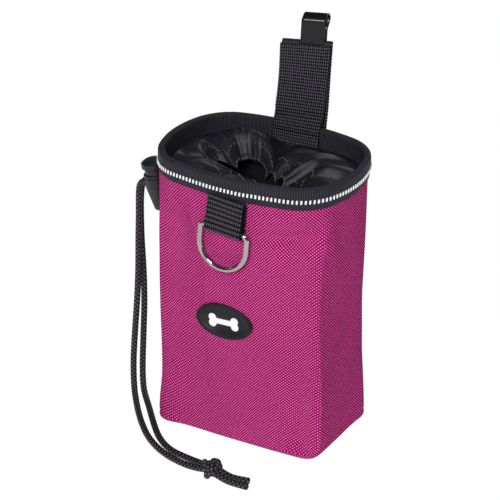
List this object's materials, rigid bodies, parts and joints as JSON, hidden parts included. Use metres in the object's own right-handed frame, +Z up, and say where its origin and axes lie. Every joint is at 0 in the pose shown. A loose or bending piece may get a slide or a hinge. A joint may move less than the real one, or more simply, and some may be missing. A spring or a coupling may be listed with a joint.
{
  "type": "treat pouch",
  "caption": "Soft oval-rimmed tub with a drawstring collar, cord lock, front D-ring, oval label and a webbing hanger with a steel belt clip.",
  "frame": {"origin": "middle of the base's underside, where the pouch stands", "axes": "+Z up through the mouth, -Y out of the front with the D-ring and label, -X towards the cord lock"},
  "size_m": [0.1265, 0.1218, 0.2087],
  "materials": {
    "pouch_cloth": "magenta Oxford weave polyester with a slight coated sheen",
    "board_plastic": "thin black polypropylene board",
    "lining_nylon": "black nylon lining, slightly glossy and creased",
    "hoop_steel": "flat spring steel band",
    "binding_tape": "black grosgrain tape with fine upright ribs",
    "reflective_yarn": "light grey reflective yarn",
    "braided_cord": "black braided polyester cord",
    "eyelet_metal": "black painted brass eyelet",
    "webbing": "black ribbed nylon webbing",
    "ring_nickel": "polished nickel plated wire",
    "label_rubber": "dark grey moulded rubber",
    "label_yarn": "black stitching",
    "label_print": "raised white print",
    "clip_steel": "spring steel with glossy black paint, scuffed at the bend",
    "lock_plastic": "black moulded plastic with a soft shine",
    "spring_steel": "bright spring wire"
  },
  "bodies": {
    "pouch": {"outer_shell": "pouch_cloth", "base_panel": "pouch_cloth", "base_board": "board_plastic", "lining": "lining_nylon", "rim_hoop": "hoop_steel", "rim_binding": "binding_tape", "reflective_thread": "reflective_yarn", "drawstring_collar": "lining_nylon", "drawstring_loop": "braided_cord", "cord_strand_front": "braided_cord", "cord_strand_rear": "braided_cord", "cord_tail_front": "braided_cord", "cord_tail_rear": "braided_cord", "cord_knot": "braided_cord", "cord_eyelet": "eyelet_metal", "eyelet_washer": "eyelet_metal", "ring_loop": "webbing", "label_patch": "label_rubber", "label_thread": "label_yarn", "label_bone": "label_print", "hanger_tab_inner": "webbing", "hanger_tab_outer": "webbing"},
    "ring": {"d_ring": "ring_nickel"},
    "hanger": {"hanger_strap_front": "webbing", "hanger_strap_rear": "webbing", "belt_clip": "clip_steel"},
    "clip_leg": {"clip_spring_leg": "clip_steel"},
    "lock": {"lock_body": "lock_plastic", "lock_spring": "spring_steel"},
    "plunger": {"lock_plunger": "lock_plastic"}
  },
  "joints": [
    {"name": "ring_swing", "type": "hinge", "parent": "pouch", "child": "ring", "pos_m": [0.00007, -0.03943, 0.12557], "axis": [-0.9954, 0, 0.0958], "range_deg": [-6, 160]},
    {"name": "hanger_fold", "type": "hinge", "parent": "pouch", "child": "hanger", "pos_m": [0, 0.0393, 0.1542], "axis": [0.9903, 0.1392, 0], "range_deg": [-80, 50], "stiffness_Nm_per_rad": 0.03},
    {"name": "clip_open", "type": "hinge", "parent": "hanger", "child": "clip_leg", "pos_m": [0.00142, 0.04929, 0.20358], "axis": [0.9903, 0.1392, 0], "range_deg": [0, 9], "stiffness_Nm_per_rad": 1.5},
    {"name": "lock_slide", "type": "slide", "parent": "pouch", "child": "lock", "axis": [0.9903, 0, 0.1392], "range_m": [0, 0.002]},
    {"name": "lock_press", "type": "slide", "parent": "lock", "child": "plunger", "axis": [0.1392, 0, -0.9903], "range_m": [0, 0.0026], "stiffness_N_per_m": 800, "springref_m": -0.003, "deforming": ["lock_spring"]}
  ]
}
